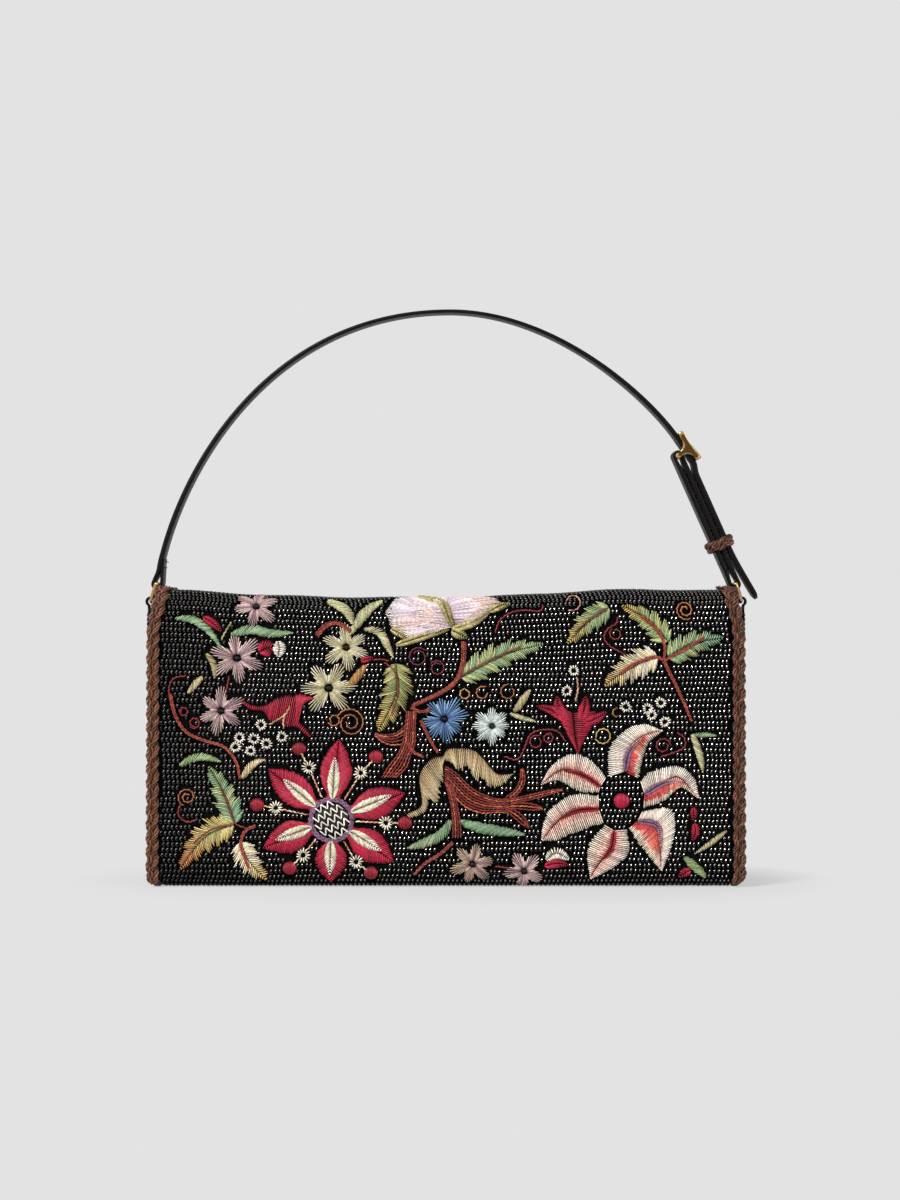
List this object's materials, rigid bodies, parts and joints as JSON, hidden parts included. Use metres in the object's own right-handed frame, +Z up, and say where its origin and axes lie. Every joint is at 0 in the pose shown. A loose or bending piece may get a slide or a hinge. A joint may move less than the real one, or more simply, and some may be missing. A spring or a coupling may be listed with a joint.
{
  "type": "baguette bag",
  "caption": "Slim zip-top baguette bag with a beaded wrap-around panel, braided side seams and a buckled leather shoulder strap on D-rings.",
  "frame": {"origin": "centre of the bag body's base, on the surface that the bag stands on", "axes": "+X along the bag to the buckle side, +Y to the back, +Z up; the front faces -Y"},
  "size_m": [0.3018, 0.0576, 0.2816],
  "materials": {
    "beaded_panel": "black glass seed beads in close rows, with silk thread embroidery",
    "board": "plain stiffening board, hidden",
    "lining": "brown twill",
    "black_leather": "smooth, satin",
    "gusset_fabric": "black satin weave",
    "brown_braid": "plaited passementerie braid, silky",
    "zip_tape": "woven tape",
    "gold_metal": "polished, gold plated",
    "strap_leather": "smooth charcoal-black leather with painted edges"
  },
  "bodies": {
    "root": {"outer_panel": "beaded_panel", "front_board": "board", "back_board": "board", "base_board": "board", "lining": "lining", "lining_pocket": "lining", "facing_front": "black_leather", "facing_back": "black_leather", "gusset_left": "gusset_fabric", "gusset_right": "gusset_fabric", "braid_front_left": "brown_braid", "braid_front_right": "brown_braid", "braid_back_left": "brown_braid", "braid_back_right": "brown_braid", "ring_tab_left": "black_leather", "ring_tab_right": "black_leather", "zip_end_left": "zip_tape", "zip_end_right": "zip_tape", "zip_bottom_stop": "gold_metal"},
    "zip_half_front": {"zip_tape_front": "zip_tape", "zip_teeth_front": "gold_metal"},
    "zip_half_back": {"zip_tape_back": "zip_tape", "zip_teeth_back": "gold_metal"},
    "slider": {"zip_slider": "gold_metal"},
    "pull": {"zip_pull": "gold_metal", "zip_pull_tab": "black_leather"},
    "strap": {"strap_long": "strap_leather", "strap_short": "strap_leather", "ring_left": "gold_metal", "ring_right": "gold_metal", "buckle_frame": "gold_metal"},
    "tongue": {"buckle_tongue": "gold_metal"},
    "keeper": {"strap_keeper": "brown_braid"}
  },
  "joints": [
    {"name": "strap_swing", "type": "hinge", "parent": "root", "child": "strap", "pos_m": [0, 0, 0.1464], "axis": [1, 0, 0], "range_deg": [-40, 40]},
    {"name": "tongue_pivot", "type": "hinge", "parent": "strap", "child": "tongue", "pos_m": [0.11374, 0, 0.20944], "axis": [0, -1, 0], "range_deg": [0, 30]},
    {"name": "keeper_slide", "type": "slide", "parent": "strap", "child": "keeper", "axis": [-0.4067, 0, 0.9135], "range_m": [0, 0.024]},
    {"name": "zip_slide", "type": "slide", "parent": "root", "child": "slider", "axis": [-1, 0, 0], "range_m": [0, 0.22]},
    {"name": "zip_front_part", "type": "slide", "parent": "root", "child": "zip_half_front", "axis": [0, -1, 0], "range_m": [0, 0.008]},
    {"name": "zip_back_part", "type": "slide", "parent": "root", "child": "zip_half_back", "axis": [0, 1, 0], "range_m": [0, 0.008]},
    {"name": "pull_swing", "type": "hinge", "parent": "slider", "child": "pull", "pos_m": [0.1115, 0, 0.13874], "axis": [0, 1, 0], "range_deg": [0, 150]}
  ],
  "couplings": [
    {"joint": "zip_front_part", "follows": "zip_slide", "ratio": 0.036363},
    {"joint": "zip_back_part", "follows": "zip_slide", "ratio": 0.036363}
  ]
}
